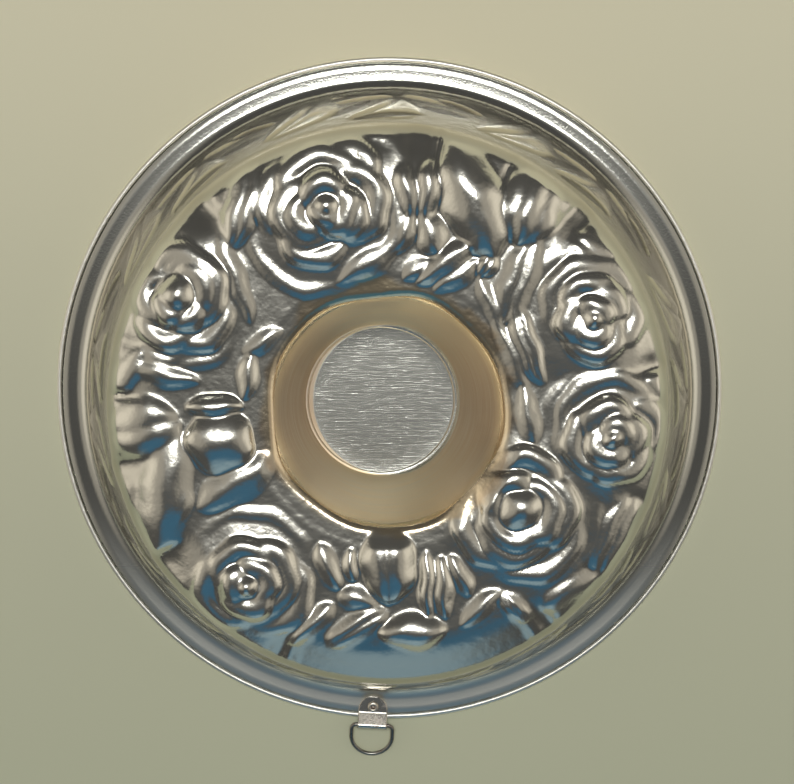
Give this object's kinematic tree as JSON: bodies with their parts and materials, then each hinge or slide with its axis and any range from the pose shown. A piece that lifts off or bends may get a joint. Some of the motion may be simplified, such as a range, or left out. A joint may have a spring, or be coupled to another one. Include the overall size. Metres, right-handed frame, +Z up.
{
  "type": "embossed ring cake pan",
  "caption": "Round ring cake pan pressed from one sheet, its crown embossed with roses, buds and leaves, with a closed centre tube, rolled rim and a swinging hanging ring.",
  "frame": {"origin": "centre of the rim's circle, on the plane that the rim lies on when the pan lies rim down", "axes": "+Z up along the pan's axis towards the embossed crown, -Y towards the hanging ring (which sits 2.9 degrees off it), +X to the right with the ring towards the viewer"},
  "size_m": [0.25, 0.2646, 0.0678],
  "materials": {
    "pan_metal": "pressed sheet, polished on crown and wall, satin in the tube, matt on brim and disc",
    "hanger_plate": "nickel-plated steel strip, lightly tarnished",
    "rivet_metal": "nickel-plated tubular rivet, lightly worn",
    "ring_wire": "plated round wire, darkened"
  },
  "bodies": {
    "pan": {"pan_shell": "pan_metal", "hanger_strap": "hanger_plate", "hanger_rivet": "rivet_metal"},
    "ring": {"hanger_ring": "ring_wire"}
  },
  "joints": [
    {"name": "ring_swing", "type": "hinge", "parent": "pan", "child": "ring", "pos_m": [-0.00642, -0.12669, 0.00405], "axis": [-0.9987, 0.0506, 0], "range_deg": [-78, 184]}
  ]
}
